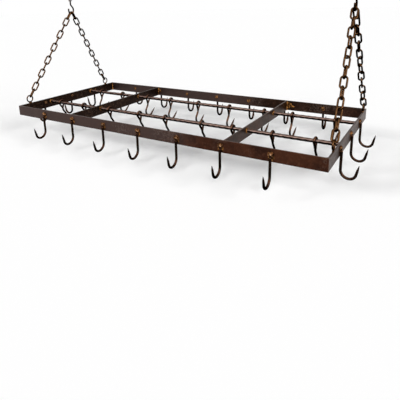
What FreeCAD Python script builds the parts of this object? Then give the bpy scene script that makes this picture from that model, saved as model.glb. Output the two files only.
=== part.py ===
import FreeCAD, Part
import math
import os

# Hanging pot rack. Millimetres, +X along the rack to its right end, +Y to its rear, +Z up.
# The origin lies in the ceiling plane, midway between the two ceiling hooks. Every piece is drawn about the
# middle of the rack, and moved by the rack's shift as it is saved.

Vector = FreeCAD.Vector
X_AXIS = Vector(1, 0, 0)
Y_AXIS = Vector(0, 1, 0)
Z_AXIS = Vector(0, 0, 1)

# ---------------------------------------------------------------- driving dimensions

# Frame of flat bar on edge
RACK_LENGTH = 1220.0
RACK_WIDTH = 545.0
BAR_HEIGHT = 38.0
BAR_THICKNESS = 5.0
BAR_EDGE_ROUND = 0.8
CROSS_BAR_X = 315.0
RACK_DROP = 405.5            # ceiling plane to the top edge of the bars

# Rods
ROD_DIAMETER = 12.7
ROD_Y = 117.0
ROD_LEVEL = 24.0             # rod centre above the bottom edge of the bars
ROD_HOLE_CLEARANCE = 0.1     # on the radius
ROD_END_GAP = 0.1

# Fixed hooks
RAIL_HOOKS = 7
RAIL_HOOK_PITCH = RACK_LENGTH / 8
END_HOOKS = 3
END_HOOK_PITCH = 146.0
RAIL_RIVET_LEVEL = 20.0      # rivet centre above the bottom edge of the bars
END_RIVET_LEVEL = 24.0
HOOK_ROD = 8.0
HOOK_STANDOFF = 4.2          # shank centre to the face of the bar
HOOK_DEPTH = 85.5            # rivet centre to the shank centre at the bottom of the bend
HOOK_INNER_BEND = 24.0       # bend radius on the shank side, at the rod centre
HOOK_OUTER_BEND = 18.0
HOOK_TIP_LEAN = 13.5         # degrees outward
HOOK_TIP_RISE = 42.5         # from the bottom of the bend to the point
HOOK_POINT_RADIUS = 0.9
HOOK_TAPER_START = 0.55      # share of the tip over which a hook keeps most of its thickness
HOOK_TAPER_RADIUS = 0.80     # what it keeps there, as a share of its radius
PAD_RADIUS = 7.0
PAD_THICKNESS = 3.0
SHANK_BELOW_PAD = 2.4        # edge of the pad to the centre of the round top of the shank
RIVET_DIAMETER = 5.0
RIVET_HOLE_CLEARANCE = 0.05
RIVET_HEAD_RADIUS = 4.4
RIVET_HEAD_HEIGHT = 2.4
RIVET_TAIL_RADIUS = 3.8
RIVET_TAIL_HEIGHT = 1.5

# Sliding hooks
SLIDER_WIRE = 7.2
SLIDER_EYE_INNER = 6.8
SLIDER_EYE_GAP = 0.3         # eye above the top of its rod
SLIDER_MERGE_DROP = 24.0     # rod centre to the point where the sides of the eye meet
SLIDER_MERGE_BACK = 3.0
SLIDER_BACK = 17.0           # farthest the bend reaches behind the rod
SLIDER_DEPTH = 79.3          # rod centre to the wire centre at the bottom of the bend
SLIDER_INNER_BEND = 21.0
SLIDER_OUTER_BEND = 19.0
SLIDER_SHANK_LEAN = 33.0     # degrees, backward going down
SLIDER_TIP_LEAN = 44.0       # degrees outward
SLIDER_TIP_RISE = 26.5
SLIDER_NECK_BEND = 24.0
SLIDER_TURN = -6.5           # degrees about the vertical, how the hooks hang round the rod
# Where each hook rests, as a share of its bay from left to right: left bay, middle bay, right bay
FRONT_SLIDERS = ((0.2226, 0.6887), (0.0728, 0.3112, 0.5, 0.7416, 0.9288), (0.2974, 0.7530))
REAR_SLIDERS = ((0.2504, 0.6957), (0.0856, 0.2808, 0.4968, 0.7208, 0.9512), (0.2487, 0.7635))

# Rings and chains
CHAIN_WIRE = 5.6
RING_WIRE = 4.8
RING_OUTER_DIAMETER = 31.0
RING_Y = 219.5
RING_RISE = 2.5              # foot of a ring above the bar, on its brazing
LINK_INNER_WIDTH = 11.4
LINKS_PER_CHAIN = 12
LINK_GAP = 0.15
SWIVEL_GAP = 0.4             # top link to the link below it
RING_GAP = 0.6               # lowest link to its ring
CEILING_GAP = 0.35           # top link to its ceiling hook

# Turn of the links about the chain, degrees: lowest link, second link, step to the next, top link
LEFT_TWIST = (-22.0, -38.0, 0.0, -20.0)
RIGHT_REAR_TWIST = (-5.0, -21.5, 16.0, -22.5)
RIGHT_FRONT_TWIST = (11.0, 29.0, 17.5, 14.0)

# Ceiling hooks
CEILING_HOOK_SPACING = 1153.7
RACK_SHIFT = 19.3            # how far the rack hangs to the left of the middle between them
CEILING_HOOK_WIRE = 6.0
CEILING_HOOK_BEND = 12.75    # at the wire centre
CEILING_HOOK_DEPTH = 55.0    # ceiling to the wire centre at the bottom of the bend
CEILING_HOOK_NECK = 18.0
CEILING_HOOK_TIP = 6.0       # straight length of the open end
FLANGE_RADIUS = 8.0
FLANGE_THICKNESS = 3.0
SCREW_DIAMETER = 5.0
SCREW_LENGTH = 32.0
SCREW_POINT = 8.0

# Brazing
CORNER_BRAZE = 4.5
BAR_END_BRAZE = 3.5
ROD_BRAZE_RADIUS = 9.5
ROD_BRAZE_LENGTH = 4.0
RING_BRAZE_LENGTH = 13.0
RING_BRAZE_WIDTH = 4.6
RING_BRAZE_HEIGHT = 5.3
PAD_BRAZE_RADIUS = 9.8
PAD_BRAZE_THICKNESS = 1.2
SHANK_BRAZE_WIDTH = 10.5
BACK_BRAZE_RADIUS = 6.8
BACK_BRAZE_THICKNESS = 0.8

# ---------------------------------------------------------------- derived dimensions

BAR_TOP = -RACK_DROP
BAR_BOTTOM = BAR_TOP - BAR_HEIGHT
HALF_LENGTH = RACK_LENGTH / 2
HALF_WIDTH = RACK_WIDTH / 2
INNER_HALF_LENGTH = HALF_LENGTH - BAR_THICKNESS
INNER_HALF_WIDTH = HALF_WIDTH - BAR_THICKNESS
ROD_RADIUS = ROD_DIAMETER / 2
ROD_Z = BAR_BOTTOM + ROD_LEVEL
RIVET_RADIUS = RIVET_DIAMETER / 2
HOOK_RADIUS = HOOK_ROD / 2
SLIDER_RADIUS = SLIDER_WIRE / 2
CHAIN_RADIUS = CHAIN_WIRE / 2
RING_WIRE_RADIUS = RING_WIRE / 2
CEILING_RADIUS = CEILING_HOOK_WIRE / 2
SCREW_RADIUS = SCREW_DIAMETER / 2
RING_BEND = RING_OUTER_DIAMETER / 2 - RING_WIRE_RADIUS
RING_X = HALF_LENGTH - BAR_THICKNESS / 2
RING_Z = BAR_TOP + RING_OUTER_DIAMETER / 2 + RING_RISE
LINK_BEND = LINK_INNER_WIDTH / 2 + CHAIN_RADIUS
BEND_CENTRE_Z = CEILING_HOOK_BEND - CEILING_HOOK_DEPTH
CEILING_HOOK_X = {side: side * CEILING_HOOK_SPACING / 2 + RACK_SHIFT for side in (-1, 1)}
BAYS = (
    (-INNER_HALF_LENGTH, -CROSS_BAR_X - BAR_THICKNESS / 2),
    (-CROSS_BAR_X + BAR_THICKNESS / 2, CROSS_BAR_X - BAR_THICKNESS / 2),
    (CROSS_BAR_X + BAR_THICKNESS / 2, INNER_HALF_LENGTH),
)


# ---------------------------------------------------------------- helpers

def direction(degrees):
    """Unit vector in the Y-Z plane, measured from +Y towards +Z."""
    angle = math.radians(degrees)
    return Vector(0, math.cos(angle), math.sin(angle))


def unit(vector):
    return vector * (1 / vector.Length)


def rounded_path(points, radii):
    """Wire through the points, each inner corner rounded to its radius."""
    edges = []
    start = points[0]
    for before, corner, after, radius in zip(points, points[1:], points[2:], radii):
        back = unit(before - corner)
        ahead = unit(after - corner)
        half_angle = back.getAngle(ahead) / 2
        reach = radius / math.tan(half_angle)
        bisector = unit(back + ahead)
        centre = corner + bisector * (radius / math.sin(half_angle))
        arc_start = corner + back * reach
        arc_end = corner + ahead * reach
        if (arc_start - start).Length > 1e-4:
            edges.append(Part.makeLine(start, arc_start))
        edges.append(Part.Arc(arc_start, centre - bisector * radius, arc_end).toShape())
        start = arc_end
    if (points[-1] - start).Length > 1e-4:
        edges.append(Part.makeLine(start, points[-1]))
    return Part.Wire(edges)


def round_bar(wire, radius):
    """Solid of round section along a wire."""
    first = wire.OrderedEdges[0]
    start = first.valueAt(first.FirstParameter)
    tangent = first.tangentAt(first.FirstParameter)
    section = Part.Wire([Part.makeCircle(radius, start, tangent)])
    bar = wire.makePipeShell([section], True, True)
    if bar.Volume < 0:
        bar.reverse()
    return bar


def pointed_tip(start, heading, length, radius):
    """Round bar carried on, thick at first, to a small rounded point."""
    thick = length * HOOK_TAPER_START
    shoulder = radius * HOOK_TAPER_RADIUS
    root = Part.makeCone(radius, shoulder, thick, start, heading)
    cone = Part.makeCone(shoulder, HOOK_POINT_RADIUS, length - thick, start + heading * thick, heading)
    return root.fuse([cone, Part.makeSphere(HOOK_POINT_RADIUS, start + heading * length)])


def dome(base, heading, radius, height):
    """Spherical cap standing on a flat base."""
    sphere_radius = (radius * radius + height * height) / (2 * height)
    centre = base - heading * (sphere_radius - height)
    latitude = math.degrees(math.asin((sphere_radius - height) / sphere_radius))
    return Part.makeSphere(sphere_radius, centre, heading, latitude, 90, 360)


def fillet_bead(corner, along_a, along_b, size, height):
    """Vertical bead in an inner corner, its face hollow."""
    end_a = corner + along_a * size
    end_b = corner + along_b * size
    middle = corner + (along_a + along_b) * (size * 0.36)
    face = Part.Face(Part.Wire([
        Part.makeLine(corner, end_a),
        Part.Arc(end_a, middle, end_b).toShape(),
        Part.makeLine(end_b, corner),
    ]))
    return face.extrude(Z_AXIS * height)


def turned(shape, degrees):
    """Copy of a shape turned about the vertical through the origin."""
    copy = shape.copy()
    copy.rotate(Vector(0, 0, 0), Z_AXIS, degrees)
    return copy


def placed(shape, degrees, position):
    copy = turned(shape, degrees)
    copy.translate(position)
    return copy


def save(node, shapes):
    shape = Part.makeCompound(shapes) if len(shapes) > 1 else shapes[0].copy()
    shape.translate(X_AXIS * -RACK_SHIFT)
    shape.exportStep("parts/" + node + ".step")


# ---------------------------------------------------------------- frame bars and rods

def mitred_bar(length, hole_places, hole_level):
    """Bar along X, outer face on y = 0, inner face at +Y, ends mitred, drilled for rivets."""
    half = length / 2
    plan = Part.makePolygon([
        Vector(-half, 0, 0),
        Vector(half, 0, 0),
        Vector(half - BAR_THICKNESS, BAR_THICKNESS, 0),
        Vector(-half + BAR_THICKNESS, BAR_THICKNESS, 0),
        Vector(-half, 0, 0),
    ])
    bar = Part.Face(plan).extrude(Z_AXIS * BAR_HEIGHT)
    long_edges = [edge for edge in bar.Edges if edge.BoundBox.XLength > length / 2]
    bar = bar.makeFillet(BAR_EDGE_ROUND, long_edges)
    holes = [
        Part.makeCylinder(RIVET_RADIUS + RIVET_HOLE_CLEARANCE, BAR_THICKNESS + 2,
                          Vector(place, -1, hole_level), Y_AXIS)
        for place in hole_places
    ]
    return bar.cut(holes)


def cross_bar(x):
    length = 2 * INNER_HALF_WIDTH
    corner = Vector(x - BAR_THICKNESS / 2, -INNER_HALF_WIDTH, BAR_BOTTOM)
    bar = Part.makeBox(BAR_THICKNESS, length, BAR_HEIGHT, corner)
    long_edges = [edge for edge in bar.Edges if edge.BoundBox.YLength > length / 2]
    bar = bar.makeFillet(BAR_EDGE_ROUND, long_edges)
    holes = [
        Part.makeCylinder(ROD_RADIUS + ROD_HOLE_CLEARANCE, BAR_THICKNESS + 2,
                          Vector(x - BAR_THICKNESS / 2 - 1, y, ROD_Z), X_AXIS)
        for y in (-ROD_Y, ROD_Y)
    ]
    return bar.cut(holes)


rail_places = [RAIL_HOOK_PITCH * (i - (RAIL_HOOKS - 1) / 2) for i in range(RAIL_HOOKS)]
end_places = [END_HOOK_PITCH * (i - (END_HOOKS - 1) / 2) for i in range(END_HOOKS)]
rail = mitred_bar(RACK_LENGTH, rail_places, RAIL_RIVET_LEVEL)
end_bar = mitred_bar(RACK_WIDTH, end_places, END_RIVET_LEVEL)

rod_length = 2 * (INNER_HALF_LENGTH - ROD_END_GAP)


def rod(y):
    start = Vector(-rod_length / 2, y, ROD_Z)
    return Part.makeCylinder(ROD_RADIUS, rod_length, start, X_AXIS)


# ---------------------------------------------------------------- fixed hooks
# Prototypes face -Y: outer face of the bar on y = 0, rivet centre at z = 0.

def out(distance, z):
    """Point in the plane of a hook, so far out from the face of the bar."""
    return Vector(0, -distance, z)


def fixed_hook():
    shank_top = -(PAD_RADIUS + SHANK_BELOW_PAD)
    bend = rounded_path([
        out(HOOK_STANDOFF, shank_top),
        out(HOOK_STANDOFF, -HOOK_DEPTH),
        out(HOOK_STANDOFF + HOOK_INNER_BEND + 1e-3, -HOOK_DEPTH),
    ], [HOOK_INNER_BEND])
    lean = math.radians(HOOK_TIP_LEAN)
    bottom = out(HOOK_STANDOFF + HOOK_INNER_BEND, -HOOK_DEPTH)
    turn = math.radians(90 - HOOK_TIP_LEAN)
    arc_middle = bottom + Vector(0, -HOOK_OUTER_BEND * math.sin(turn / 2),
                                 HOOK_OUTER_BEND * (1 - math.cos(turn / 2)))
    arc_end = bottom + Vector(0, -HOOK_OUTER_BEND * math.sin(turn),
                              HOOK_OUTER_BEND * (1 - math.cos(turn)))
    heading = Vector(0, -math.sin(lean), math.cos(lean))
    tip_length = (HOOK_TIP_RISE - HOOK_OUTER_BEND * (1 - math.cos(turn))) / math.cos(lean)
    inner_arc = bend.OrderedEdges[1]
    wire = Part.Wire([
        bend.OrderedEdges[0],
        inner_arc,
        Part.Arc(bottom, arc_middle, arc_end).toShape(),
    ])
    shank = round_bar(wire, HOOK_RADIUS)
    shank_end = Part.makeSphere(HOOK_RADIUS, out(HOOK_STANDOFF, shank_top))
    pad = Part.makeCylinder(PAD_RADIUS, PAD_THICKNESS, out(PAD_BRAZE_THICKNESS, 0), -Y_AXIS)
    hook = shank.fuse([shank_end, pad, pointed_tip(arc_end, heading, tip_length, HOOK_RADIUS)])
    hole = Part.makeCylinder(RIVET_RADIUS + RIVET_HOLE_CLEARANCE, PAD_THICKNESS + 4,
                             out(PAD_BRAZE_THICKNESS - 2, 0), -Y_AXIS)
    return hook.cut(hole).removeSplitter()


def hook_rivet():
    head_base = PAD_BRAZE_THICKNESS + PAD_THICKNESS
    shank = Part.makeCylinder(RIVET_RADIUS, head_base + BAR_THICKNESS,
                              out(-BAR_THICKNESS, 0), -Y_AXIS)
    head = dome(out(head_base, 0), -Y_AXIS, RIVET_HEAD_RADIUS, RIVET_HEAD_HEIGHT)
    tail = dome(out(-BAR_THICKNESS, 0), Y_AXIS, RIVET_TAIL_RADIUS, RIVET_TAIL_HEIGHT)
    return shank.fuse([head, tail]).removeSplitter()


def front_braze(hook, rivet_level):
    """Disc under the pad and strip along the shank down to the bottom edge of the bar."""
    disc = Part.makeCylinder(PAD_BRAZE_RADIUS, PAD_BRAZE_THICKNESS, out(0, 0), -Y_AXIS)
    strip_length = rivet_level - 2 * BAR_EDGE_ROUND
    strip = Part.makeBox(SHANK_BRAZE_WIDTH, PAD_BRAZE_THICKNESS, strip_length,
                         Vector(-SHANK_BRAZE_WIDTH / 2, -PAD_BRAZE_THICKNESS, -strip_length))
    rivet_hole = Part.makeCylinder(RIVET_RADIUS + RIVET_HOLE_CLEARANCE, PAD_BRAZE_THICKNESS + 2,
                                   out(-1, 0), -Y_AXIS)
    return disc.fuse(strip).removeSplitter().cut([rivet_hole, hook])


def back_braze():
    """Ring of brazing round the rivet tail on the inner face."""
    ring = Part.makeCylinder(BACK_BRAZE_RADIUS, BACK_BRAZE_THICKNESS, out(-BAR_THICKNESS, 0), Y_AXIS)
    hole = Part.makeCylinder(RIVET_TAIL_RADIUS + RIVET_HOLE_CLEARANCE, BACK_BRAZE_THICKNESS + 2,
                             out(1 - BAR_THICKNESS, 0), Y_AXIS)
    return ring.cut(hole)


# ---------------------------------------------------------------- sliding hooks
# Prototype opens towards -Y, its rod along X through the origin.

def slider():
    eye_bend = SLIDER_EYE_INNER + SLIDER_RADIUS
    eye_centre = out(0, ROD_RADIUS + SLIDER_EYE_GAP - SLIDER_EYE_INNER)
    merge = out(-SLIDER_MERGE_BACK, -SLIDER_MERGE_DROP)
    axis = unit(merge - eye_centre)
    reach = (merge - eye_centre).Length
    side = X_AXIS.cross(axis)
    cosine = eye_bend / reach
    sine = math.sqrt(1 - cosine * cosine)
    tangent_a = eye_centre + axis * (eye_bend * cosine) + side * (eye_bend * sine)
    tangent_b = eye_centre + axis * (eye_bend * cosine) - side * (eye_bend * sine)
    top = Part.Arc(tangent_a, eye_centre - axis * eye_bend, tangent_b).toShape()
    eye = round_bar(Part.Wire([Part.makeLine(merge, tangent_a), top]), SLIDER_RADIUS)
    return_leg = round_bar(Part.Wire([Part.makeLine(tangent_b, merge)]), SLIDER_RADIUS)

    # The bend: circle of the inner radius touching the farthest-back line, then the outer radius.
    lean = math.radians(SLIDER_SHANK_LEAN)
    tip_lean = math.radians(SLIDER_TIP_LEAN)
    step = SLIDER_INNER_BEND - SLIDER_OUTER_BEND
    change_angle = -72.0
    inner_y = SLIDER_BACK - SLIDER_INNER_BEND
    outer_z = SLIDER_OUTER_BEND - SLIDER_DEPTH
    outer_y = inner_y + step * direction(change_angle).y
    inner_centre = Vector(0, inner_y, outer_z - step * direction(change_angle).z)
    outer_centre = Vector(0, outer_y, outer_z)
    bend_start = inner_centre + Vector(0, math.cos(lean), math.sin(lean)) * SLIDER_INNER_BEND
    bend_back = inner_centre + Y_AXIS * SLIDER_INNER_BEND
    change = inner_centre + direction(change_angle) * SLIDER_INNER_BEND
    bottom = outer_centre - Z_AXIS * SLIDER_OUTER_BEND
    bend_end = outer_centre + Vector(0, -math.cos(tip_lean), -math.sin(tip_lean)) * SLIDER_OUTER_BEND
    down = Vector(0, math.sin(lean), -math.cos(lean))
    # The neck turns from the line of the eye into the lean of the shank.
    corner_drop = (bend_start - merge).cross(down).x / axis.cross(down).x
    neck = rounded_path([merge - axis * 0.8, merge + axis * corner_drop, bend_start],
                        [SLIDER_NECK_BEND])
    wire = Part.Wire(neck.OrderedEdges + [
        Part.Arc(bend_start, bend_back, change).toShape(),
        Part.Arc(change, bottom, bend_end).toShape(),
    ])
    shank = round_bar(wire, SLIDER_RADIUS)
    heading = Vector(0, -math.sin(tip_lean), math.cos(tip_lean))
    tip_length = (SLIDER_TIP_RISE - (bend_end.z + SLIDER_DEPTH)) / math.cos(tip_lean)
    knot = Part.makeSphere(SLIDER_RADIUS * 1.28, merge - axis * 1.5)
    tip = pointed_tip(bend_end, heading, tip_length, SLIDER_RADIUS)
    return eye.fuse([return_leg, shank, knot, tip]).removeSplitter()


# ---------------------------------------------------------------- rings, chains, ceiling hooks

def strand(side, row):
    """Wire centres at the ring and at the ceiling hook, and the direction of the pull between them."""
    ring_centre = Vector(side * RING_X, row * RING_Y, RING_Z)
    bend_centre = Vector(CEILING_HOOK_X[side], 0, BEND_CENTRE_Z)
    pull = unit(bend_centre - ring_centre)
    for _ in range(30):
        radial = unit(Vector(0, pull.y, pull.z))
        low = ring_centre + radial * RING_BEND
        high = bend_centre - radial * CEILING_HOOK_BEND
        pull = unit(high - low)
    return low, high, pull


def strand_reach(side, row):
    low, high, _ = strand(side, row)
    return (high - low).Length


LONG_REACH = max(strand_reach(-1, 1), strand_reach(1, 1))


def link_length():
    """Centre-line length that lets twelve links and the top link fill the longer strands."""
    links = LINKS_PER_CHAIN + 1
    taken = LONG_REACH + RING_GAP + CEILING_GAP + SWIVEL_GAP
    taken += (links - 2) * LINK_GAP + 2 * links * CHAIN_RADIUS + RING_WIRE_RADIUS + CEILING_RADIUS
    return taken / links


LINK_LENGTH = link_length()


def chain_link():
    """Link standing in the X-Z plane, wire centre of its lower bend at the origin."""
    low_centre = Vector(0, 0, LINK_BEND)
    high_centre = Vector(0, 0, LINK_LENGTH - LINK_BEND)
    straight = LINK_LENGTH - 2 * LINK_BEND
    section = Part.Face(Part.Wire([
        Part.makeCircle(CHAIN_RADIUS, low_centre + X_AXIS * LINK_BEND, Z_AXIS)]))
    lower = section.revolve(low_centre, Y_AXIS, 180)
    section.translate(Z_AXIS * straight)
    upper = section.revolve(high_centre, Y_AXIS, -180)
    sides = [
        Part.makeCylinder(CHAIN_RADIUS, straight, low_centre + X_AXIS * (LINK_BEND * sign), Z_AXIS)
        for sign in (-1, 1)
    ]
    return lower.fuse([upper] + sides).removeSplitter()


LINK = chain_link()


def strand_links(side, row, twist):
    """The links of a strand from the ring up, the top link last."""
    low, _, pull = strand(side, row)
    link_gap = LINK_GAP + (LONG_REACH - strand_reach(side, row)) / (LINKS_PER_CHAIN - 1)
    across = unit(X_AXIS - pull * X_AXIS.dot(pull))
    first_turn, second_turn, step, top_turn = twist
    turns = [first_turn]
    turns += [second_turn + step * i for i in range(LINKS_PER_CHAIN - 1)]
    turns.append(top_turn)
    foot = low - pull * (RING_WIRE_RADIUS + CHAIN_RADIUS + RING_GAP)
    links = []
    for number, turn in enumerate(turns):
        angle = turn + 90 * (number % 2)
        width = FreeCAD.Rotation(pull, angle).multVec(across)
        link = LINK.copy()
        link.Placement = FreeCAD.Placement(
            foot, FreeCAD.Rotation(width, pull.cross(width), pull, "ZXY"))
        links.append(link)
        gap = SWIVEL_GAP if number == LINKS_PER_CHAIN - 1 else link_gap
        foot = foot + pull * (LINK_LENGTH - 2 * CHAIN_RADIUS - gap)
    return links


def chain_ring(side, row):
    centre = Vector(side * RING_X, row * RING_Y, RING_Z)
    return Part.makeTorus(RING_BEND, RING_WIRE_RADIUS, centre, X_AXIS)


def ceiling_hook(side):
    """Open J in the Y-Z plane, its opening to the front, on a flange and a wood-screw shank."""
    bend = CEILING_HOOK_BEND
    wire = rounded_path([
        Vector(0, 0, -FLANGE_THICKNESS / 2),
        Vector(0, 0, -CEILING_HOOK_NECK),
        Vector(0, bend, BEND_CENTRE_Z + 9),
        Vector(0, bend, -CEILING_HOOK_DEPTH),
        Vector(0, -bend, -CEILING_HOOK_DEPTH),
        Vector(0, -bend, BEND_CENTRE_Z + CEILING_HOOK_TIP),
    ], [8.0, 8.0, bend - 1e-4, bend - 1e-4])
    hook = round_bar(wire, CEILING_RADIUS)
    tip = Part.makeSphere(CEILING_RADIUS, Vector(0, -bend, BEND_CENTRE_Z + CEILING_HOOK_TIP))
    flange = Part.makeCylinder(FLANGE_RADIUS, FLANGE_THICKNESS, Vector(0, 0, -FLANGE_THICKNESS))
    shank = Part.makeCylinder(SCREW_RADIUS, SCREW_LENGTH - SCREW_POINT)
    point = Part.makeCone(SCREW_RADIUS, 0.3, SCREW_POINT, Vector(0, 0, SCREW_LENGTH - SCREW_POINT))
    whole = hook.fuse([tip, flange, shank, point]).removeSplitter()
    whole.translate(Vector(CEILING_HOOK_X[side], 0, 0))
    return whole


# ---------------------------------------------------------------- brazing

def ring_mound(seat):
    """Ridge of brazing along the top of a bar, all its ends round."""
    radius = RING_BRAZE_WIDTH / 2
    shoulder = RING_BRAZE_HEIGHT - radius
    half = RING_BRAZE_LENGTH / 2 - radius
    pieces = [Part.makeBox(RING_BRAZE_WIDTH, 2 * half, shoulder, seat + Vector(-radius, -half, 0))]
    ridge = seat + Vector(0, -half, shoulder)
    pieces.append(Part.makeCylinder(radius, 2 * half, ridge, Y_AXIS))
    for end in (-half, half):
        foot = seat + Vector(0, end, 0)
        pieces.append(Part.makeCylinder(radius, shoulder, foot, Z_AXIS))
        pieces.append(Part.makeSphere(radius, foot + Z_AXIS * shoulder))
    return pieces[0].fuse(pieces[1:]).removeSplitter()


def frame_brazing():
    beads = []
    for side in (-1, 1):
        for row in (-1, 1):
            corner = Vector(side * INNER_HALF_LENGTH, row * INNER_HALF_WIDTH, BAR_BOTTOM)
            beads.append(fillet_bead(corner, X_AXIS * -side, Y_AXIS * -row, CORNER_BRAZE, BAR_HEIGHT))
            for face in (-1, 1):
                x = side * CROSS_BAR_X + face * BAR_THICKNESS / 2
                foot = Vector(x, row * INNER_HALF_WIDTH, BAR_BOTTOM)
                beads.append(fillet_bead(foot, X_AXIS * face, Y_AXIS * -row, BAR_END_BRAZE, BAR_HEIGHT))
            seat = Vector(side * RING_X, row * RING_Y, BAR_TOP)
            beads += ring_mound(seat).cut(chain_ring(side, row)).Solids
    return beads


def rod_brazing():
    beads = []
    for y in (-ROD_Y, ROD_Y):
        core = Part.makeCylinder(ROD_RADIUS, RACK_LENGTH, Vector(-HALF_LENGTH, y, ROD_Z), X_AXIS)
        for side in (-1, 1):
            inward = X_AXIS * -side
            seats = [(side * INNER_HALF_LENGTH, inward)]
            seats += [(side * CROSS_BAR_X + face * BAR_THICKNESS / 2, X_AXIS * face) for face in (-1, 1)]
            for x, heading in seats:
                collar = Part.makeCone(ROD_BRAZE_RADIUS, ROD_RADIUS + 0.4, ROD_BRAZE_LENGTH,
                                       Vector(x, y, ROD_Z), heading)
                beads.append(collar.cut(core))
    return beads


# ---------------------------------------------------------------- build and save

os.makedirs("parts", exist_ok=True)

rail_seat = Vector(0, -HALF_WIDTH, BAR_BOTTOM)
end_seat = Vector(0, -HALF_LENGTH, BAR_BOTTOM)
rail.translate(rail_seat)
end_bar.translate(end_seat)
save("front_rail", [rail])
save("rear_rail", [turned(rail, 180)])
save("left_end_bar", [turned(end_bar, -90)])
save("right_end_bar", [turned(end_bar, 90)])
save("left_cross_bar", [cross_bar(-CROSS_BAR_X)])
save("right_cross_bar", [cross_bar(CROSS_BAR_X)])
save("front_rod", [rod(-ROD_Y)])
save("rear_rod", [rod(ROD_Y)])

frame_beads = frame_brazing()
save("frame_brazes", frame_beads)
save("rod_brazes", rod_brazing())

hook = fixed_hook()
rivet = hook_rivet()
rail_braze = front_braze(hook, RAIL_RIVET_LEVEL)
end_braze = front_braze(hook, END_RIVET_LEVEL)
ring_braze = back_braze()
rivets = []
brazes = []
rows = (
    ("front", 0, HALF_WIDTH, RAIL_RIVET_LEVEL, rail_places, rail_braze),
    ("rear", 180, HALF_WIDTH, RAIL_RIVET_LEVEL, rail_places, rail_braze),
    ("left", -90, HALF_LENGTH, END_RIVET_LEVEL, end_places, end_braze),
    ("right", 90, HALF_LENGTH, END_RIVET_LEVEL, end_places, end_braze),
)
for name, angle, face, level, places, braze in rows:
    for number, place in enumerate(places, 1):
        along = place if name in ("front", "right") else -place
        seat = Vector(along, -face, BAR_BOTTOM + level)
        seat = FreeCAD.Rotation(Z_AXIS, angle).multVec(seat)
        save(name + "_hook_" + str(number), [placed(hook, angle, seat)])
        rivets.append(placed(rivet, angle, seat))
        brazes.append(placed(braze, angle, seat))
        brazes.append(placed(ring_braze, angle, seat).cut(frame_beads))
save("hook_rivets", rivets)
save("hook_brazes", brazes)

sliding_hook = slider()
for name, angle, y, shares in (("front", 0, -ROD_Y, FRONT_SLIDERS), ("rear", 180, ROD_Y, REAR_SLIDERS)):
    places = [low + (high - low) * share for (low, high), bay in zip(BAYS, shares) for share in bay]
    for number, x in enumerate(places, 1):
        hung = placed(sliding_hook, angle + SLIDER_TURN, Vector(x, y, ROD_Z))
        save(name + "_rod_hook_" + str(number), [hung])

rings = [chain_ring(side, row) for side in (-1, 1) for row in (-1, 1)]
save("chain_rings", rings)

strands = {
    ("left", "front"): strand_links(-1, -1, LEFT_TWIST),
    ("left", "rear"): strand_links(-1, 1, LEFT_TWIST),
    ("right", "front"): strand_links(1, -1, RIGHT_FRONT_TWIST),
    ("right", "rear"): strand_links(1, 1, RIGHT_REAR_TWIST),
}
for (side, row), links in strands.items():
    save(side + "_" + row + "_chain", links[:-1])
for side in ("left", "right"):
    save(side + "_top_links", [strands[side, "front"][-1], strands[side, "rear"][-1]])
save("left_ceiling_hook", [ceiling_hook(-1)])
save("right_ceiling_hook", [ceiling_hook(1)])
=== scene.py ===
# %% [markdown]
# # A hanging pot rack of flat iron bar
# A rack like this is made at the forge and the brazing hearth: flat bar for the frame, two
# twisted rods inside it, pointed hooks bent from round iron, and chains up to the ceiling. The
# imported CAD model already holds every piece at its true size. It is loaded first and never moved,
# so each thing made here has a fixed place to go.

# %% Load the frame
import bpy
import math
from mathutils import Matrix, Vector, noise


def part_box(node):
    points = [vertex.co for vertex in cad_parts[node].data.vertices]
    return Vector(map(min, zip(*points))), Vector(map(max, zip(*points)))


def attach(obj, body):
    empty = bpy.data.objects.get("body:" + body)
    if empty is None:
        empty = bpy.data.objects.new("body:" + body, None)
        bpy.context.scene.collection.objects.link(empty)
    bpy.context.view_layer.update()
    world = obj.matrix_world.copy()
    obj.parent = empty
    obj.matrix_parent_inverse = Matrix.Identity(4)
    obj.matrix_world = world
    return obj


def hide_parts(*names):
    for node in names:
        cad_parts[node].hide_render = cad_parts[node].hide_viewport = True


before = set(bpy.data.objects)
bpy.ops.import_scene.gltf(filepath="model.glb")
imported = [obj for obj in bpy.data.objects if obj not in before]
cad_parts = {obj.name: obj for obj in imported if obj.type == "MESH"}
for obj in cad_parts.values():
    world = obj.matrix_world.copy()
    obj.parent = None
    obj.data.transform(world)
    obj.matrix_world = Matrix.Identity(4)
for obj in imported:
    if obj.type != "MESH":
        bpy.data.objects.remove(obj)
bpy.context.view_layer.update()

# %% [markdown]
# ## The camera
# The camera stands in front of the right end, a little above the rack. A lens could be shared
# between rotation and shift in many ways. Here the camera looks along its own axis, and a shift
# slides the picture so that the rack sits in the upper half of the frame, because tilting the
# camera instead would change how the bars converge.

# %% Camera
IMAGE_SIDE = 400.0  # pixels, as are the next two
FOCAL_PIXELS = 402.5
OPTICAL_CENTRE = (195.5, 109.4)
SENSOR = 36.0  # mm
CAMERA_PLACE = Vector((0.8003, -1.2391, -0.0256))
CAMERA_AZIMUTH = math.radians(31.65)
CAMERA_ELEVATION = math.radians(14.73)
CAMERA_ROLL = math.radians(-1.41)

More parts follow.
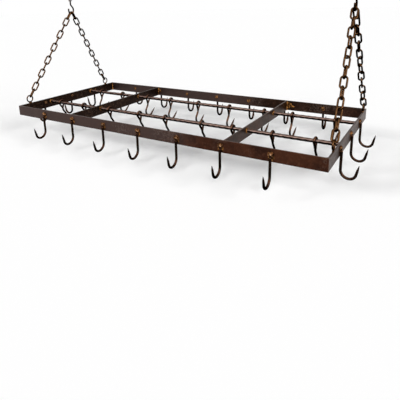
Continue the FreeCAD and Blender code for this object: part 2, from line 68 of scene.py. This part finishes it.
camera_data = bpy.data.cameras.new("camera")
camera = bpy.data.objects.new("camera", camera_data)
bpy.context.scene.collection.objects.link(camera)
bpy.context.scene.camera = camera
camera_data.sensor_width = SENSOR
camera_data.lens = FOCAL_PIXELS / IMAGE_SIDE * SENSOR
camera_data.shift_x = (IMAGE_SIDE / 2 - OPTICAL_CENTRE[0]) / IMAGE_SIDE
camera_data.shift_y = (OPTICAL_CENTRE[1] - IMAGE_SIDE / 2) / IMAGE_SIDE
ahead = Vector((
    -math.sin(CAMERA_AZIMUTH) * math.cos(CAMERA_ELEVATION),
    math.cos(CAMERA_AZIMUTH) * math.cos(CAMERA_ELEVATION),
    -math.sin(CAMERA_ELEVATION),
))
level_right = Vector((math.cos(CAMERA_AZIMUTH), math.sin(CAMERA_AZIMUTH), 0.0))
level_up = level_right.cross(ahead)
right = level_right * math.cos(CAMERA_ROLL) + level_up * math.sin(CAMERA_ROLL)
up = level_up * math.cos(CAMERA_ROLL) - level_right * math.sin(CAMERA_ROLL)
turn = Matrix((right, up, -ahead)).transposed().to_4x4()
camera.matrix_world = Matrix.Translation(CAMERA_PLACE) @ turn
print("lens", round(camera_data.lens, 2), "mm")
print("shift", round(camera_data.shift_x, 4), round(camera_data.shift_y, 4))

# %% [markdown]
# ## Small helpers
# Colours are picked as the eye sees them, as sRGB hex, but shaders add light in linear values, so
# one function turns the one into the other. Another adds a shader node with its settings and
# links in one go, which keeps each material short enough to read from top to bottom.

# %% Colour and node helpers
def linear(hex_colour):
    """Linear RGBA of an sRGB hex colour."""
    values = [int(hex_colour[i:i + 2], 16) / 255 for i in (0, 2, 4)]
    return [v / 12.92 if v <= 0.04045 else ((v + 0.055) / 1.055) ** 2.4 for v in values] + [1.0]


def add(tree, kind, inputs=None, **settings):
    """A new node in the tree. A socket among the inputs is linked, any other value is set."""
    node = tree.nodes.new(kind)
    for name, value in settings.items():
        setattr(node, name, value)
    for name, value in (inputs or {}).items():
        if isinstance(value, bpy.types.NodeSocket):
            tree.links.new(value, node.inputs[name])
        else:
            node.inputs[name].default_value = value
    return node


def new_material(name):
    """A material whose node tree is still empty."""
    material = bpy.data.materials.new(name)
    material.use_nodes = True
    material.node_tree.nodes.clear()
    return material


print("mid grey 808080 in linear light:", round(linear("808080")[0], 3))

# %% [markdown]
# ## Floor
# The rack hangs close over a plain white floor, which takes its shadow. Matt paper has no shine
# of its own, so a diffuse shader is all it needs. One large square reaches to the horizon, where
# it meets a sky of the same white.

# %% Floor
FLOOR_LEVEL = -0.575
FLOOR_SIDE = 60.0

half = FLOOR_SIDE / 2
square = ((-half, -half), (half, -half), (half, half), (-half, half))
floor_mesh = bpy.data.meshes.new("floor")
floor_mesh.from_pydata([(x, y, FLOOR_LEVEL) for x, y in square], [], [(0, 1, 2, 3)])
floor = bpy.data.objects.new("floor", floor_mesh)
bpy.context.scene.collection.objects.link(floor)

floor_material = new_material("matt_white_paper")
tree = floor_material.node_tree
paper = add(tree, "ShaderNodeBsdfDiffuse", {"Color": linear("fcfcfc")})
add(tree, "ShaderNodeOutputMaterial", {"Surface": paper.outputs[0]})
floor_mesh.materials.append(floor_material)
print("floor", FLOOR_LEVEL, "m")

# %% [markdown]
# ## Sky
# The sky is white to the eye and in reflections, and weak as a light. A light path node tells
# rays that are seen from rays that only carry light, so the white background puts no more light
# on the iron.

# %% Sky
WORLD_LIGHT = 0.06

world = bpy.data.worlds.new("white_studio")
bpy.context.scene.world = world
world.use_nodes = True
tree = world.node_tree
tree.nodes.clear()
rays = add(tree, "ShaderNodeLightPath")
seen = add(tree, "ShaderNodeMath",
           {0: rays.outputs["Is Camera Ray"], 1: rays.outputs["Is Glossy Ray"]},
           operation="MAXIMUM")
seen = add(tree, "ShaderNodeMath",
           {0: seen.outputs[0], 1: rays.outputs["Is Transmission Ray"]}, operation="MAXIMUM")
strength = add(tree, "ShaderNodeMapRange",
               {"Value": seen.outputs[0], "To Min": WORLD_LIGHT, "To Max": 1.0})
sky = add(tree, "ShaderNodeBackground",
          {"Color": linear("ffffff"), "Strength": strength.outputs["Result"]})
add(tree, "ShaderNodeOutputWorld", {"Surface": sky.outputs[0]})
bpy.context.scene.view_settings.view_transform = "Standard"
print("sky as a light", WORLD_LIGHT)

# %% [markdown]
# ## Lamps
# Five broad lamps stand low around the rack, four in front and one at its right. The flat bars
# are tall and thin, so low light gives them wide soft shadows that run together under the rack.
# Parallel light does not fade with distance, so the floor is equally bright out to the horizon. A
# low lamp lights a level floor at a slant, so its strength is worked out from the share of the
# floor's white that it should give.

# %% Lamps
LAMP_DISTANCE = 3  # where the lamps are drawn, since parallel light is the same from any distance
LAMPS = (
    # name, degrees round from the front towards the right, height and spread in degrees,
    # share of the floor's white
    ("front_left_lamp", -30, 25, 12, 0.18),
    ("front_lamp", 20, 25, 9, 0.17),
    ("front_right_lamp", 32, 28, 9, 0.12),
    ("high_front_lamp", -10, 34, 25, 0.18),
    ("right_lamp", 75, 22, 20, 0.31),
)

for name, around, height, spread, share in LAMPS:
    around, height = math.radians(around), math.radians(height)
    lamp_data = bpy.data.lights.new(name, "SUN")
    lamp_data.angle = math.radians(spread)
    lamp_data.energy = math.pi * share / math.sin(height)
    lamp = bpy.data.objects.new(name, lamp_data)
    level = math.cos(height)
    source = Vector((math.sin(around) * level, -math.cos(around) * level, math.sin(height)))
    lamp.location = source * LAMP_DISTANCE
    lamp.rotation_mode = "QUATERNION"
    lamp.rotation_quaternion = source.to_track_quat("Z", "Y")
    bpy.context.scene.collection.objects.link(lamp)
    print("lamp", name, round(lamp_data.energy, 2), "W/m2")

# %% [markdown]
# ## Oil-rubbed iron
# The iron is hot-rolled steel, blackened and rubbed with a coppery wax. The colour is made in
# layers, in this order: wax, rubbing with a painted highlight on top, painted shade underneath,
# scratches, and on the hooks a skin of brazing. Each layer is a colour and a factor that says where
# it lies. A painted picture could hold them too, but noise of a real size fits every piece without
# unwrapping it. First comes the wax, which dried in cloudy patches about 60 mm across. Towards the
# left end of the rack a painted light tone lies over the wax: a grey painted reflection on the
# long rails, and a dark painted shade on the bars between them.

# %% Wax
CLOUD_SIZE = 0.060  # metres, as are all sizes below
LEFT_LIGHT_START = 0.24
LEFT_LIGHT_FULL = 0.04
LEFT_LIGHT_STRENGTH = 0.85


def waxed(tree, place, dark, mid, painted_left_light):
    """The colour of the wax: clouds of two browns, and, if given, a painted light tone towards the
    left.
    """
    cloud = add(tree, "ShaderNodeTexNoise",
                {"Vector": place, "Scale": 1 / CLOUD_SIZE, "Detail": 4.0, "Roughness": 0.6})
    patches = add(tree, "ShaderNodeMapRange",
                  {"Value": cloud.outputs["Fac"], "From Min": 0.38, "From Max": 0.66})
    wax = add(tree, "ShaderNodeMix",
              {"Factor": patches.outputs["Result"], "A": linear(dark), "B": linear(mid)},
              data_type="RGBA").outputs["Result"]
    if painted_left_light:
        # painted light towards the left end: grey painted reflection on the rails, dark painted
        # shade on the bars between them
        along = add(tree, "ShaderNodeSeparateXYZ", {"Vector": place})
        painted_left_mask = add(tree, "ShaderNodeMapRange",
                       {"Value": along.outputs["X"], "From Min": LEFT_LIGHT_START,
                        "From Max": LEFT_LIGHT_FULL, "To Max": LEFT_LIGHT_STRENGTH},
                       interpolation_type="SMOOTHSTEP")
        wax = add(tree, "ShaderNodeMix",
                  {"Factor": painted_left_mask.outputs["Result"], "A": wax, "B": linear(painted_left_light)},
                  data_type="RGBA").outputs["Result"]
    return wax


# the left tone printed here as a bloom is painted light: a grey painted reflection on the rails, a
# dark painted shade on the bars
print("clouds of wax", CLOUD_SIZE, "m, bloom starts at x =", LEFT_LIGHT_START, "m")

# %% [markdown]
# ## Rubbing and a painted highlight on top
# A cloth rubs the wax thin where it meets most iron: along edges and on the specks of rolling scale
# that stand up. On top of a round piece a painted highlight is added in the rubbed colour. An edge
# is where a softened normal, as a bevel would have it, differs from the true one. Taking the
# largest of the three keeps a place that is rubbed twice from turning brighter than the rubbed
# colour.

# %% Rubbing and painted highlight
EDGE_RADIUS = 0.0012
EDGE_STRENGTH = 0.5


def wear_and_top_highlight(tree, speck, upward, rub_amount, painted_top_highlight):
    """How far the wax is rubbed off, with a painted highlight on top. Upward is 1 on top of a piece
    and -1 on its underside.
    """
    soft = add(tree, "ShaderNodeBevel", {"Radius": EDGE_RADIUS}, samples=4)
    sharp = add(tree, "ShaderNodeNewGeometry")
    alike = add(tree, "ShaderNodeVectorMath",
                {0: soft.outputs["Normal"], 1: sharp.outputs["Normal"]}, operation="DOT_PRODUCT")
    edge = add(tree, "ShaderNodeMapRange",
               {"Value": alike.outputs["Value"], "From Min": 0.99, "From Max": 0.80,
                "To Max": EDGE_STRENGTH})
    patch = add(tree, "ShaderNodeMapRange",
                {"Value": speck, "From Min": 0.52, "From Max": 0.74, "To Max": rub_amount})
    # painted highlight: the top of a piece is lightened, the more the more it faces up
    painted_top = add(tree, "ShaderNodeMapRange",
                {"Value": upward, "From Min": -0.05, "From Max": 0.65, "To Max": painted_top_highlight},
                interpolation_type="SMOOTHSTEP")
    rub_and_highlight = add(tree, "ShaderNodeMath",
              {0: edge.outputs["Result"], 1: patch.outputs["Result"]}, operation="MAXIMUM")
    rub_and_highlight = add(tree, "ShaderNodeMath",
              {0: rub_and_highlight.outputs[0], 1: painted_top.outputs["Result"]}, operation="MAXIMUM")
    return rub_and_highlight.outputs[0]


print("rubbed edges", EDGE_RADIUS, "m")

# %% [markdown]
# ## Scratches
# Where pots have knocked against the bars, fine lines of bare steel show. They could be drawn one
# by one, but the contour lines of a noise, the places where it passes through its middle value,
# are fine and wander in the same way. A second noise, five times as large, keeps them to a few
# worn places, and a shift along the rack moves those to where pots come and go.

# %% Scratches
SCRATCH_SIZE = 0.022
WORN_SIZE = 0.110
WORN_SHIFT = (-0.115, 0, 0)
SCRATCH_STRENGTH = 0.42
MIDDLE_VALUE = 0.5


def scratches(tree, place):
    """A factor for hair-fine bare lines, which crowd together in a few worn places."""
    lines = add(tree, "ShaderNodeTexNoise",
                {"Vector": place, "Scale": 1 / SCRATCH_SIZE, "Detail": 5.0, "Roughness": 0.75})
    off_line = add(tree, "ShaderNodeMath",
                   {0: lines.outputs["Fac"], 1: MIDDLE_VALUE}, operation="SUBTRACT")
    off_line = add(tree, "ShaderNodeMath", {0: off_line.outputs[0]}, operation="ABSOLUTE")
    hair = add(tree, "ShaderNodeMapRange",
               {"Value": off_line.outputs[0], "From Min": 0.014, "From Max": 0.003})
    moved = add(tree, "ShaderNodeVectorMath", {0: place, 1: WORN_SHIFT}, operation="ADD")
    worn = add(tree, "ShaderNodeTexNoise",
               {"Vector": moved.outputs[0], "Scale": 1 / WORN_SIZE, "Detail": 1.0})
    crowd = add(tree, "ShaderNodeMapRange",
                {"Value": worn.outputs["Fac"], "From Min": 0.56, "From Max": 0.68,
                 "To Max": SCRATCH_STRENGTH})
    return add(tree, "ShaderNodeMath",
               {0: hair.outputs["Result"], 1: crowd.outputs["Result"]},
               operation="MULTIPLY").outputs[0]


print("scratches", SCRATCH_SIZE, "m, worn places", WORN_SIZE, "m")

# %% [markdown]
# ## Brazing's skin on the pads
# The pad at the top of a hook is brazed to the bar, and keeps a thin skin of the copper alloy. It
# covers the pad from its lower edge up, except where specks of scale kept the metal off.

# %% Skin on the pads
HEAD_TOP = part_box("front_hook_1")[1].z
SKIN_START = 0.013
SKIN_WHOLE = 0.004


def skinned(tree, place, speck):
    """A factor for the skin, which starts and is whole so far below the top of a hook."""
    height = add(tree, "ShaderNodeSeparateXYZ", {"Vector": place})
    head = add(tree, "ShaderNodeMapRange",
               {"Value": height.outputs["Z"],
                "From Min": HEAD_TOP - SKIN_START, "From Max": HEAD_TOP - SKIN_WHOLE},
               interpolation_type="SMOOTHSTEP")
    clean = add(tree, "ShaderNodeMapRange", {"Value": speck, "From Min": 0.62, "From Max": 0.42})
    return add(tree, "ShaderNodeMath",
               {0: head.outputs["Result"], 1: clean.outputs["Result"]},
               operation="MULTIPLY").outputs[0]


print("hooks end at z =", round(HEAD_TOP, 4), "m")

# %% [markdown]
# ## The layers together
# The eye sees a dark red-brown metal that turns grey where it is looked at along the surface.
# That change is the metal's own Fresnel, so the base is a metallic shader with a dark red-brown
# colour, and a colour for the rim can hold the change back. Underneath, painted shade darkens the
# colour and the rim; it sets in between two values of the way the surface faces. The specks are
# drawn 7 mm wide, coarser than real scale, so that they show. They also make the gloss uneven and
# dent the surface by half a millimetre at most.

# %% Oil-rubbed iron
SPECK_SIZE = 0.007
DENT_DEPTH = 0.0005


def iron(name, dark, mid, rubbed, underside_shade, rim, rub_amount, roughness, painted_top_highlight,
         shade_span=(0.0, -0.45), painted_left_light=None, bare=None, head_tone=None):
    """Blackened steel with copper wax, rubbed, with a painted highlight above and painted shade
    below. A tone of None is left off.
    """
    material = new_material(name)
    tree = material.node_tree
    places = add(tree, "ShaderNodeTexCoord")
    place = places.outputs["Object"]
    upward = add(tree, "ShaderNodeSeparateXYZ", {"Vector": places.outputs["Normal"]}).outputs["Z"]
    speck = add(tree, "ShaderNodeTexNoise",
                {"Vector": place, "Scale": 1 / SPECK_SIZE, "Detail": 3.0,
                 "Roughness": 0.7}).outputs["Fac"]
    # painted shade underneath: darker as the surface turns from facing up to facing down
    painted_shade = add(tree, "ShaderNodeMapRange",
                {"Value": upward, "From Min": shade_span[0], "From Max": shade_span[1], "To Max": 0.95},
                interpolation_type="SMOOTHSTEP").outputs["Result"]
    layers = [(wear_and_top_highlight(tree, speck, upward, rub_amount, painted_top_highlight), rubbed), (painted_shade, underside_shade)]
    if bare:
        layers.append((scratches(tree, place), bare))
    if head_tone:
        layers.append((skinned(tree, place, speck), head_tone))
    colour = waxed(tree, place, dark, mid, painted_left_light)
    for factor, tone in layers:
        colour = add(tree, "ShaderNodeMix", {"Factor": factor, "A": colour, "B": linear(tone)},
                     data_type="RGBA").outputs["Result"]
    # the rim colour also takes the painted shade underneath, so reflections there are painted dark
    rim_with_painted_shade = add(tree, "ShaderNodeMix",
                     {"Factor": painted_shade, "A": linear(rim), "B": linear(underside_shade)}, data_type="RGBA")
    gloss = add(tree, "ShaderNodeMapRange",
                {"Value": speck, "From Min": 0.3, "From Max": 0.7,
                 "To Min": roughness - 0.08, "To Max": roughness + 0.10})
    dents = add(tree, "ShaderNodeBump", {"Height": speck, "Distance": DENT_DEPTH, "Strength": 0.5})
    metal = add(tree, "ShaderNodeBsdfPrincipled",
                {"Base Color": colour, "Metallic": 1.0, "Roughness": gloss.outputs["Result"],
                 "Specular Tint": rim_with_painted_shade.outputs["Result"], "Normal": dents.outputs["Normal"]})
    add(tree, "ShaderNodeOutputMaterial", {"Surface": metal.outputs[0]})
    return material


print("specks", SPECK_SIZE, "m, dents", DENT_DEPTH, "m")

# %% [markdown]
# ## Iron for flat bars
# The flat bars stand on edge and get no painted highlight on top, only painted shade on their
# undersides, and a white rim lets them turn grey along the surface. The rear rail is darker than
# the front one. The bars between the rails are rubbed to a brighter copper.

# %% Iron for flat bars
FLAT_BAR = {"rim": "ffffff", "rub_amount": 0.25, "roughness": 0.42, "painted_top_highlight": 0.0}

# the left tones are painted light: grey painted reflection at the left of the rails, dark painted
# shade at the left of the bars between
rail_iron = iron(
    "rail_iron_painted_left_light", dark="281711", mid="402519", rubbed="6a4a3a", underside_shade="1c110c",
    painted_left_light="423633", bare="8a7a70", **FLAT_BAR)
rear_rail_iron = iron(
    "rear_rail_iron_painted_left_light", dark="1f140f", mid="2e1e17", rubbed="6a4a3a", underside_shade="1c110c",
    painted_left_light="423633", bare="8a7a70", **FLAT_BAR)
bar_iron = iron(
    "oil_rubbed_bar_iron", dark="2a1911", mid="42291d", rubbed="8a6a50", underside_shade="180f0b",
    painted_left_light="1e1410", bare="7a685c", **FLAT_BAR)
print("flat bars", [material.name for material in (rail_iron, rear_rail_iron, bar_iron)])

# %% [markdown]
# ## Iron for round pieces
# Hooks, rivets, rods and chain links are small and round, and each gets a painted highlight on its
# top right next to painted shade on its underside. How strong the highlight is, and how high up
# the shade begins, is set piece by piece: the rods get the strongest painted highlight.

# %% Iron for round pieces
# in each call below, the share for the top is a painted highlight, and the sooty colour with its
# span is painted shade underneath
hook_iron = iron(
    "oil_rubbed_hook_iron", dark="120b08", mid="22160f", rubbed="5a3a2a", underside_shade="080504",
    rim="4a3c36", rub_amount=0.35, roughness=0.40, painted_top_highlight=0.3, shade_span=(0.15, -0.25),
    head_tone="9a6c46")
rivet_iron = iron(
    "hammered_rivet_iron", dark="120a07", mid="2a1b12", rubbed="b08a6a", underside_shade="060403",
    rim="4a3c34", rub_amount=0.45, roughness=0.36, painted_top_highlight=0.5, shade_span=(0.30, -0.20))
slider_iron = iron(
    "oil_rubbed_slider_iron", dark="120a07", mid="22150d", rubbed="6a4c3c", underside_shade="080504",
    rim="44362f", rub_amount=0.35, roughness=0.40, painted_top_highlight=0.55, shade_span=(0.30, -0.15))
rod_iron = iron(
    "oil_rubbed_twisted_rod", dark="20150f", mid="34251f", rubbed="76625a", underside_shade="060403",
    rim="3e322c", rub_amount=0.35, roughness=0.38, painted_top_highlight=0.70, shade_span=(0.55, 0.12))
chain_iron = iron(
    "blackened_chain_steel", dark="120904", mid="382312", rubbed="8a6240", underside_shade="080402",
    rim="2a1c12", rub_amount=0.65, roughness=0.38, painted_top_highlight=0.2, shade_span=(0.35, -0.10))
round_irons = (hook_iron, rivet_iron, slider_iron, rod_iron, chain_iron)
print("round pieces", [material.name for material in round_irons])

# %% [markdown]
# ## Brazing
# Each joint is brazed with a copper alloy, which runs out round the joint and freezes with a
# lumpy skin. It is left unpainted, so it is the only bright thing on the rack: a metal of copper
# gold with dark flux stains in its hollows. The same noise, 5 mm from lump to lump, makes the
# lumps and the stains, so that they agree.

# %% Brazing metal
LUMP_SIZE = 0.005
LUMP_DEPTH = 0.001


def brazing(name, bright, stain):
    """Copper alloy with stained hollows."""
    material = new_material(name)
    tree = material.node_tree
    place = add(tree, "ShaderNodeTexCoord").outputs["Object"]
    lumps = add(tree, "ShaderNodeTexNoise",
                {"Vector": place, "Scale": 1 / LUMP_SIZE, "Detail": 3.0}).outputs["Fac"]
    dirt = add(tree, "ShaderNodeMapRange", {"Value": lumps, "From Min": 0.40, "From Max": 0.62})
    colour = add(tree, "ShaderNodeMix",
                 {"Factor": dirt.outputs["Result"], "A": linear(stain), "B": linear(bright)},
                 data_type="RGBA")
    skin = add(tree, "ShaderNodeBump",
               {"Height": lumps, "Distance": LUMP_DEPTH, "Strength": 0.7})
    metal = add(tree, "ShaderNodeBsdfPrincipled",
                {"Base Color": colour.outputs["Result"], "Metallic": 1.0, "Roughness": 0.42,
                 "Normal": skin.outputs["Normal"]})
    add(tree, "ShaderNodeOutputMaterial", {"Surface": metal.outputs[0]})
    return material


frame_braze = brazing("copper_gold_brazing", "8a5e32", "32200f")
pad_braze = brazing("sooty_copper_brazing", "765030", "22150c")
print("brazing", frame_braze.name, pad_braze.name)

# %% [markdown]
# ## A finish for every piece of the CAD model
# The pieces keep their CAD shapes and only change their material. Their names say what they are,
# so a short table goes from a word in the name to a finish. Its lines are tried from the top, and
# the last one fits what is left: the end bars, the cross bars and the rings, which are all of one
# iron.

# %% Give every CAD node its finish
FINISHES = (
    ("hook_brazes", pad_braze), ("_brazes", frame_braze), ("hook_rivets", rivet_iron),
    ("chain", chain_iron), ("top_links", chain_iron), ("ceiling_hook", chain_iron),
    ("_rod_hook_", slider_iron), ("_hook_", hook_iron), ("_rod", rod_iron),
    ("rear_rail", rear_rail_iron), ("_rail", rail_iron), ("", bar_iron),
)

for name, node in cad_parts.items():
    finish = next(finish for word, finish in FINISHES if word in name)
    node.data.materials.clear()
    node.data.materials.append(finish)
print("finished nodes", len(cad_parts))

# %% [markdown]
# ## Twisted rods
# Each rod was a square bar, twisted while hot and then rounded. A twisted bar is its section
# swept along a line while it turns, so the mesh is written ring by ring: each ring is the same
# soft square, turned a little further.

# %% Twisted rods
QUARTER_TURN = 0.022
RING_STEP = 0.00275
RING_POINTS = 24
SQUARENESS = 0.045


def twisted_rod(node_name):
    """A twisted skin in place of a plain round rod of the CAD model."""
    low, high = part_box(node_name)
    length = high.x - low.x
    radius = (high.z - low.z) / 2
    centre_y = (low.y + high.y) / 2
    centre_z = (low.z + high.z) / 2
    rings = round(length / RING_STEP)
    points = []
    for ring in range(rings + 1):
        x = low.x + length * ring / rings
        twist = math.pi / 2 * (x - low.x) / QUARTER_TURN
        for k in range(RING_POINTS):
            angle = 2 * math.pi * k / RING_POINTS
            reach = radius * (1 - SQUARENESS + SQUARENESS * math.cos(4 * (angle - twist)))
            points.append((x, centre_y + reach * math.cos(angle),
                           centre_z + reach * math.sin(angle)))
    faces = []
    for ring in range(rings):
        for k in range(RING_POINTS):
            here = ring * RING_POINTS + k
            beside = ring * RING_POINTS + (k + 1) % RING_POINTS
            faces.append((here, beside, beside + RING_POINTS, here + RING_POINTS))
    faces.append(tuple(reversed(range(RING_POINTS))))
    faces.append(tuple(range(rings * RING_POINTS, (rings + 1) * RING_POINTS)))
    mesh = bpy.data.meshes.new("twisted_" + node_name)
    mesh.from_pydata(points, [], faces)
    mesh.shade_smooth()
    mesh.materials.append(rod_iron)
    piece = bpy.data.objects.new("twisted_" + node_name, mesh)
    bpy.context.scene.collection.objects.link(piece)
    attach(piece, "rack")
    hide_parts(node_name)
    print(piece.name, "rings", rings + 1)


for node_name in ("front_rod", "rear_rod"):
    twisted_rod(node_name)

# %% [markdown]
# ## Lumpy brazing
# Molten brazing metal wets the iron unevenly and freezes in lumps. The CAD model has the right
# amount of it in clean shapes, so each shape is cut into small faces, and every point then
# wanders a little and swells with noise. The rivet heads are hammered, so the same function dents
# them, only less. The vector noise would start anew at each run, so it gets a fixed seed, and the
# lumps are always the same.

# %% Lumpy brazing
WANDER_SIZE = 0.006
SWELL_SIZE = 0.0022
LUMP_SEED = 3

noise.seed_set(LUMP_SEED)


def lumpy(node_name, finish, cut, wander, swell):
    """A rough skin in place of a smooth CAD node. Cut, wander and swell are in metres."""
    smooth = bpy.data.objects.new("smooth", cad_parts[node_name].data.copy())
    bpy.context.scene.collection.objects.link(smooth)
    remesh = smooth.modifiers.new("cut", "REMESH")
    remesh.mode = "VOXEL"
    remesh.voxel_size = cut
    graph = bpy.context.evaluated_depsgraph_get()
    mesh = bpy.data.meshes.new_from_object(smooth.evaluated_get(graph))
    bpy.data.objects.remove(smooth)
    normals = [vertex.normal.copy() for vertex in mesh.vertices]
    for vertex, normal in zip(mesh.vertices, normals):
        place = vertex.co.copy()
        aside = wander * noise.noise_vector(place / WANDER_SIZE)
        vertex.co += aside + swell * noise.noise(place / SWELL_SIZE) * normal
    mesh.shade_smooth()
    mesh.materials.clear()
    mesh.materials.append(finish)
    piece = bpy.data.objects.new("lumpy_" + node_name, mesh)
    bpy.context.scene.collection.objects.link(piece)
    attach(piece, "rack")
    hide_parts(node_name)
    print(piece.name, "faces", len(mesh.polygons))


lumpy("frame_brazes", frame_braze, cut=0.0007, wander=0.0018, swell=0.0008)
lumpy("rod_brazes", frame_braze, cut=0.0006, wander=0.0022, swell=0.0012)
lumpy("hook_brazes", pad_braze, cut=0.0006, wander=0.0024, swell=0.0007)
lumpy("hook_rivets", rivet_iron, cut=0.0005, wander=0.0006, swell=0.0007)

# %% [markdown]
# ## Spilled brazing
# Where the torch was held too long, the metal ran out over the bar beside the joint. Such a
# puddle is a low mound: rings of points that sink from the middle to the rim, with a rim that
# wanders by a smooth noise and ends just inside the bar. Each puddle reads the noise at its own
# place along the rack, so their outlines differ.

# %% A puddle
PUDDLE_RINGS = 8
PUDDLE_POINTS = 48
PUDDLE_LIFT = 0.0012
PUDDLE_SINK = 0.0002
RIM_WANDER = 0.55
RIM_WAVES = 1.7
WAVES_PER_METRE = 50
FRONTWARD = -1


def puddle(name, centre, outward, width, height):
    """A mound on a bar's upright face, which looks along outward (+1 or -1 in Y)."""
    points = []
    for ring in range(1, PUDDLE_RINGS + 1):
        share = ring / PUDDLE_RINGS
        rise = PUDDLE_LIFT * (1 - share ** 2) - PUDDLE_SINK
        for k in range(PUDDLE_POINTS):
            angle = 2 * math.pi * k / PUDDLE_POINTS
            spot = Vector((math.cos(angle) * RIM_WAVES, math.sin(angle) * RIM_WAVES,
                           centre[0] * WAVES_PER_METRE))
            reach = share * (1 + RIM_WANDER * noise.noise(spot))
            points.append((centre[0] + width / 2 * reach * math.cos(angle),
                           centre[1] + outward * rise,
                           centre[2] + height / 2 * reach * math.sin(angle)))
    faces = [tuple(range(PUDDLE_POINTS))]
    for ring in range(PUDDLE_RINGS - 1):
        for k in range(PUDDLE_POINTS):
            here = ring * PUDDLE_POINTS + k
            beside = ring * PUDDLE_POINTS + (k + 1) % PUDDLE_POINTS
            faces.append((here, here + PUDDLE_POINTS, beside + PUDDLE_POINTS, beside))
    last_ring = (PUDDLE_RINGS - 1) * PUDDLE_POINTS
    faces.append(tuple(reversed(range(last_ring, last_ring + PUDDLE_POINTS))))
    mesh = bpy.data.meshes.new(name)
    mesh.from_pydata(points, [], faces)
    mesh.shade_smooth()
    mesh.materials.append(frame_braze)
    piece = bpy.data.objects.new(name, mesh)
    bpy.context.scene.collection.objects.link(piece)
    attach(piece, "rack")


print("a puddle stands", round(PUDDLE_LIFT - PUDDLE_SINK, 4), "m proud at most")

# %% [markdown]
# ## Spills beside the cross bars
# The cross bars meet the rear rail in heavy joints, and their puddles lie on its inner face. The
# right one took the most metal and has a tail.

# %% Spills beside the cross bars
SPILLS = (
    # name, bar, steps right of the bar and up from the middle of the rail, width and height
    ("left_cross_bar_puddle", "left_cross_bar", 0.0044, 0.002, 0.011, 0.01265),
    ("right_cross_bar_puddle", "right_cross_bar", 0.0088, 0.002, 0.022, 0.0253),
    ("puddle_tail", "right_cross_bar", 0.024, -0.003, 0.016, 0.008),
)

low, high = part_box("rear_rail")
rear_face = low.y
mid_level = (low.z + high.z) / 2
for name, bar, rightward, higher, width, height in SPILLS:
    bar_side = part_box(bar)[1].x
    puddle(name, (bar_side + rightward, rear_face, mid_level + higher), FRONTWARD, width, height)
print("puddles at", round(rear_face, 4), "m")

# %% [markdown]
# ## Drips beside the front hooks, collars behind the rear ones
# Each pad was brazed with the rail upright, so the metal ran down beside the neck of the hook and
# froze there. A drip is a puddle that is taller than wide. The two hooks next to the right end
# have one on both sides. On the inner face of the rear rail each rivet's tail stands in a round
# puddle, which leaves a bright collar round it.

# %% Drips and collars
HOOKS_PER_SIDE = 7
FIRST_DOUBLE_DRIP = 6
PAD_RADIUS = 0.007
COLLAR = 0.014
# steps right of the neck and down from the middle of the pad, width and height
RIGHT_DRIP = (0.0065, 0.008, 0.007, 0.013)
LEFT_DRIP = (-0.0065, 0.010, 0.005, 0.009)

front_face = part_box("front_rail")[0].y


def drip(name, neck, pad_level, shape):
    """A drip on the front rail, placed from the neck of a hook and the middle of its pad."""
    rightward, lower, width, height = shape
    puddle(name, (neck + rightward, front_face, pad_level - lower), FRONTWARD, width, height)


for k in range(1, HOOKS_PER_SIDE + 1):
    low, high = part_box("front_hook_%d" % k)
    neck = (low.x + high.x) / 2
    drip("front_hook_%d_drip" % k, neck, high.z - PAD_RADIUS, RIGHT_DRIP)
    if k >= FIRST_DOUBLE_DRIP:
        drip("front_hook_%d_left_drip" % k, neck, high.z - PAD_RADIUS, LEFT_DRIP)
    low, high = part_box("rear_hook_%d" % k)
    tail = ((low.x + high.x) / 2, rear_face, high.z - PAD_RADIUS)
    puddle("rear_hook_%d_collar" % k, tail, FRONTWARD, COLLAR, COLLAR)
print("drips at", round(front_face, 4), "m, collars at", round(rear_face, 4), "m")
